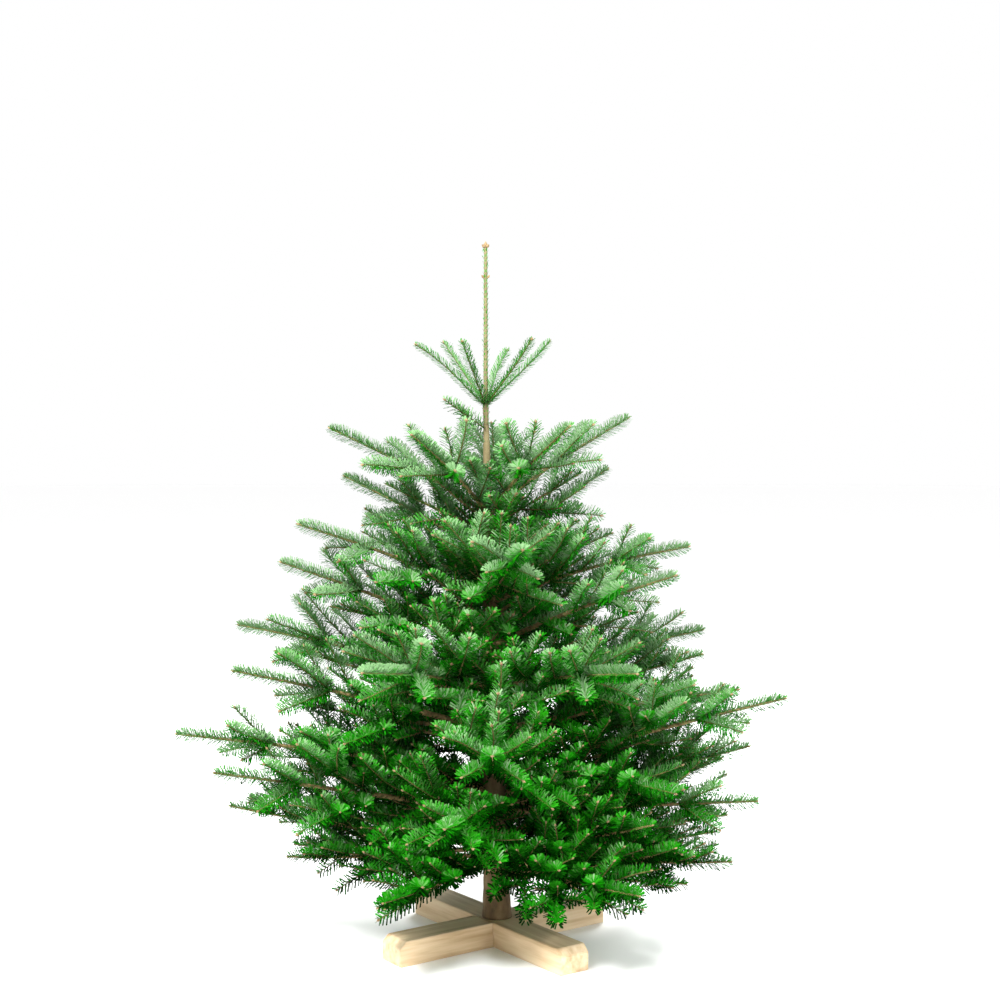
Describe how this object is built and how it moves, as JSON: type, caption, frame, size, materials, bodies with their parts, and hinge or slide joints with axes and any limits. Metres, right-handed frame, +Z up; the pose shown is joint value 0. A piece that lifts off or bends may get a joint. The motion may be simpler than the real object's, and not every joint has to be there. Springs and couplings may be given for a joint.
{
  "type": "cut fir tree on a wooden cross stand",
  "caption": "Small cut Christmas tree: a fir with a straight trunk, whorls of boughs, masses of needled twigs and a bare leader, on a plain wooden cross stand.",
  "frame": {"origin": "middle of the flat underside of the wooden cross, where the stand rests on the floor", "axes": "+Z up along the trunk; -Y is the side seen in the picture; -X is the tree's left in the picture, where its longest low boughs reach"},
  "size_m": [1.0972, 0.9141, 1.2943],
  "materials": {
    "timber": "sawn softwood",
    "bark": "rough bark",
    "twig": "young bark",
    "needles": "waxy needles"
  },
  "bodies": {
    "root": {"cross_beam_lower": "timber", "cross_beam_upper": "timber", "trunk": "bark", "tier_1_bough_1": "twig", "tier_1_bough_2": "twig", "tier_1_bough_3": "twig", "tier_1_bough_4": "twig", "tier_1_bough_5": "twig", "tier_2_bough_1": "twig", "tier_2_bough_2": "twig", "tier_2_bough_3": "twig", "tier_2_bough_4": "twig", "tier_2_bough_5": "twig", "tier_3_bough_1": "twig", "tier_3_bough_2": "twig", "tier_3_bough_3": "twig", "tier_3_bough_4": "twig", "tier_3_bough_5": "twig", "tier_1_foliage_1": "needles", "tier_1_foliage_2": "needles", "tier_1_foliage_3": "needles", "tier_1_foliage_4": "needles", "tier_1_foliage_5": "needles", "tier_2_foliage_1": "needles", "tier_2_foliage_2": "needles", "tier_2_foliage_3": "needles", "tier_2_foliage_4": "needles", "tier_2_foliage_5": "needles", "tier_3_foliage_1": "needles", "tier_3_foliage_2": "needles", "tier_3_foliage_3": "needles", "tier_3_foliage_4": "needles", "tier_3_foliage_5": "needles", "tier_4_foliage_1": "needles", "tier_4_foliage_2": "needles", "tier_4_foliage_3": "needles", "tier_4_foliage_4": "needles", "tier_4_foliage_5": "needles", "tier_5_foliage_1": "needles", "tier_5_foliage_2": "needles", "tier_5_foliage_3": "needles", "tier_5_foliage_4": "needles", "tier_5_foliage_5": "needles", "internode_1_foliage_1": "needles", "internode_1_foliage_2": "needles", "internode_1_foliage_3": "needles", "internode_2_foliage_1": "needles", "internode_2_foliage_2": "needles", "internode_3_foliage_1": "needles", "internode_3_foliage_2": "needles", "internode_4_foliage_1": "needles", "internode_4_foliage_2": "needles", "top_shoot_1": "needles", "top_shoot_2": "needles", "top_shoot_3": "needles", "top_shoot_4": "needles", "top_shoot_5": "needles", "top_shoot_6": "needles", "side_shoot_1": "needles", "side_shoot_2": "needles"}
  },
  "joints": []
}
